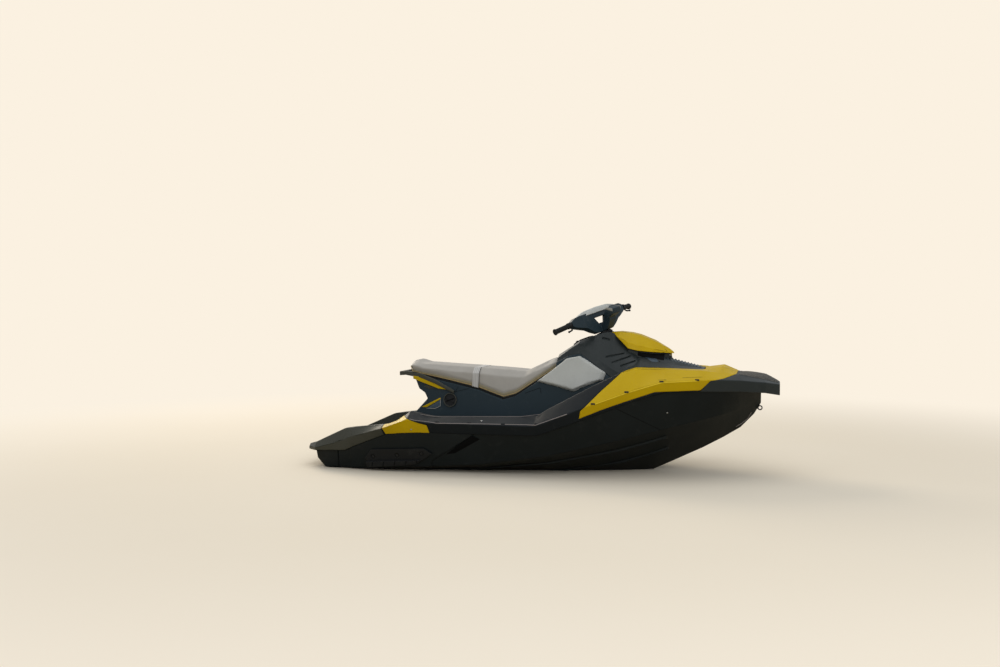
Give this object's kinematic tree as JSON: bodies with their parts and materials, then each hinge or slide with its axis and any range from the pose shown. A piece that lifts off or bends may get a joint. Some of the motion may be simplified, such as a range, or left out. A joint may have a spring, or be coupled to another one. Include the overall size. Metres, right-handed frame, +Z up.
{
  "type": "personal watercraft",
  "caption": "Straddle-seat personal watercraft with jet pump, steering bars, reverse gate, footwells, grab handle and front storage under a hinged lid.",
  "frame": {"origin": "amidships on the centreline, in the plane of the water the craft floats in", "axes": "+X towards the bow, +Y to port, +Z up"},
  "size_m": [3.056, 1.18, 1.1851],
  "materials": {
    "yellow_plastic": "moulded in colour, satin gloss",
    "black_plastic": "fine grained",
    "blue_grey_plastic": "moulded, satin",
    "hull_composite": "moulded, satin",
    "seat_vinyl": "grained vinyl",
    "strap_webbing": "woven",
    "foam_pad": "soft moulded foam skin",
    "mat_foam": "embossed foam",
    "grip_rubber": "ribbed",
    "black_steel": "black coated",
    "stainless": "brushed",
    "cast_aluminium": "cast and machined",
    "engine_metal": "cast",
    "display_face": "dark, anti-glare"
  },
  "bodies": {
    "craft": {"bow_bumper": "black_plastic", "bow_eye": "stainless", "bow_panel_port": "yellow_plastic", "bow_panel_starboard": "yellow_plastic", "centre_tower": "blue_grey_plastic", "deck": "blue_grey_plastic", "drain_plugs": "black_plastic", "engine_block": "engine_metal", "footwell_mats": "mat_foam", "grab_handle": "black_plastic", "handle_wings": "yellow_plastic", "hood": "blue_grey_plastic", "hood_ribs": "black_plastic", "hull": "hull_composite", "intake_grate": "cast_aluminium", "knee_pad_port": "foam_pad", "knee_pad_starboard": "foam_pad", "lid_hinge_pin": "stainless", "platform_mat": "mat_foam", "pump_housing": "cast_aluminium", "rear_accent_port": "yellow_plastic", "rear_accent_starboard": "yellow_plastic", "ride_plate": "cast_aluminium", "seat_cushion": "seat_vinyl", "seat_pan": "black_plastic", "seat_strap": "strap_webbing", "side_covers": "black_plastic", "sponson_port": "black_plastic", "sponson_starboard": "black_plastic", "steering_console": "blue_grey_plastic", "steering_neck": "black_plastic", "stern_eyes": "stainless", "storage_bin": "black_plastic", "tail_fairing_port": "black_plastic", "tail_fairing_starboard": "black_plastic"},
    "steering": {"steering_stem": "black_steel", "handlebar": "black_steel", "grips": "grip_rubber", "bar_cover": "black_plastic", "bar_pad": "foam_pad", "display": "display_face", "levers": "black_plastic"},
    "lid": {"storage_lid": "yellow_plastic"},
    "nozzle": {"steering_nozzle": "cast_aluminium"},
    "gate": {"reverse_gate": "cast_aluminium"},
    "rotor": {"impeller": "stainless", "drive_shaft": "stainless"}
  },
  "joints": [
    {"name": "steering_turn", "type": "hinge", "parent": "craft", "child": "steering", "pos_m": [0.415, 0, 0.872], "axis": [-0.3955, 0, 0.9184], "range_deg": [-12.5, 71.5]},
    {"name": "nozzle_turn", "type": "hinge", "parent": "craft", "child": "nozzle", "pos_m": [-1.165, 0, -0.012], "axis": [0, 0, 1], "range_deg": [-34.1, 6]},
    {"name": "gate_lower", "type": "hinge", "parent": "craft", "child": "gate", "pos_m": [-1.2, 0, -0.012], "axis": [0, -1, 0], "range_deg": [0, 88]},
    {"name": "lid_open", "type": "hinge", "parent": "craft", "child": "lid", "pos_m": [0.842, 0, 0.746], "axis": [0, 1, 0], "range_deg": [0, 50]},
    {"name": "rotor_spin", "type": "hinge", "parent": "craft", "child": "rotor", "pos_m": [-0.9, 0, -0.012], "axis": [1, 0, 0], "continuous": true}
  ],
  "couplings": [
    {"joint": "nozzle_turn", "follows": "steering_turn", "ratio": -0.4762}
  ]
}
